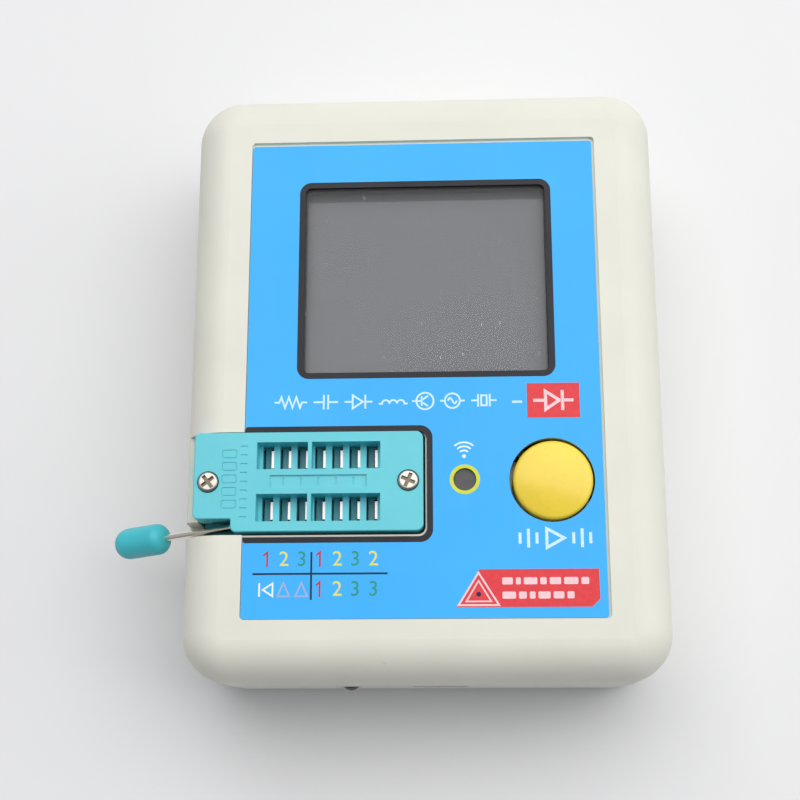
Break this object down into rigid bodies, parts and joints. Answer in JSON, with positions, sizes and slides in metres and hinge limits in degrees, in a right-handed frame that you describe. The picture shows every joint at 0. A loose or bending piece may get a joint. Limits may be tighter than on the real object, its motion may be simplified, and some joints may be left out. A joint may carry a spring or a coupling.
{
  "type": "component tester",
  "caption": "Pocket tester for electronic components with a rounded two-shell case, display window, lever-operated test socket and a round push button.",
  "frame": {"origin": "middle of the flat back face that the tester lies on", "axes": "+Z out of the front panel, +Y towards the display end, +X to the right when reading the panel; the lever sticks out on the -X side"},
  "size_m": [0.0827, 0.0909, 0.0288],
  "materials": {
    "case_plastic": "fine matt moulded ABS, warm white",
    "label_film": "printed overlay film, sky blue, satin",
    "clear_lens": "clear polished acrylic",
    "black_foam": "black closed-cell foam",
    "tinted_window": "dark tinted, polished",
    "display_glass": "dark grey display glass, switched off",
    "white_plastic": "natural white",
    "blue_board": "blue solder mask",
    "green_board": "green solder mask",
    "black_plastic": "matt black",
    "gold_pins": "gold plated",
    "teal_plastic": "teal moulded, satin",
    "dark_teal_plastic": "teal moulded, satin",
    "knob_plastic": "teal soft-touch vinyl",
    "tinned_contacts": "tin plated",
    "plated_steel": "nickel plated",
    "lever_steel": "drawn stainless wire",
    "yellow_plastic": "glossy yellow",
    "lamp_lens": "diffused red epoxy",
    "tan_ceramic": "fired ceramic",
    "silver_pouch": "laminated pouch foil",
    "amber_tape": "polyimide tape",
    "red_insulation": "soft insulation",
    "black_insulation": "soft insulation"
  },
  "bodies": {
    "housing": {"upper_shell": "case_plastic", "lower_shell": "case_plastic", "case_screws": "plated_steel", "board_screws": "plated_steel", "front_label": "label_film", "display_lens": "clear_lens", "display_gasket": "black_foam", "ir_window": "tinted_window", "display_panel": "display_glass", "display_tray": "white_plastic", "display_board": "blue_board", "display_header": "black_plastic", "display_pins": "gold_pins", "display_spacers": "white_plastic", "socket_cover": "teal_plastic", "socket_base": "teal_plastic", "socket_contacts": "tinned_contacts", "socket_screws": "plated_steel", "switch_base": "black_plastic", "switch_plate": "plated_steel", "switch_pins": "tinned_contacts", "switch_dome": "plated_steel", "ir_receiver": "black_plastic", "ir_leads": "tinned_contacts", "charge_led": "lamp_lens", "charge_led_leads": "tinned_contacts", "usb_socket": "plated_steel", "usb_tongue": "black_plastic", "main_board": "green_board", "microcontroller": "black_plastic", "microcontroller_leads": "tinned_contacts", "crystal": "plated_steel", "charger_chip": "black_plastic", "boost_inductor": "black_plastic", "chip_resistors": "black_plastic", "chip_capacitors": "tan_ceramic", "battery_pad": "black_foam", "battery_cell": "silver_pouch", "battery_guard": "amber_tape", "battery_lead_red": "red_insulation", "battery_lead_black": "black_insulation", "battery_plug": "white_plastic", "battery_socket": "white_plastic"},
    "lever": {"lever_wire": "lever_steel", "lever_knob": "knob_plastic"},
    "slider": {"socket_slider": "dark_teal_plastic"},
    "button": {"button_cap": "yellow_plastic", "switch_plunger": "black_plastic"}
  },
  "joints": [
    {"name": "lever_pivot", "type": "hinge", "parent": "housing", "child": "lever", "pos_m": [-0.02805, -0.01685, 0.024], "axis": [0, 1, 0], "range_deg": [0, 105]},
    {"name": "slider_travel", "type": "slide", "parent": "housing", "child": "slider", "axis": [-1, 0, 0], "range_m": [0, 0.000793]},
    {"name": "button_press", "type": "slide", "parent": "housing", "child": "button", "axis": [0, 0, -1], "range_m": [0, 0.00025], "stiffness_N_per_m": 6000, "deforming": ["switch_dome"]}
  ],
  "couplings": [
    {"joint": "lever_pivot", "follows": "slider_travel", "rad_per_m": 2310}
  ]
}
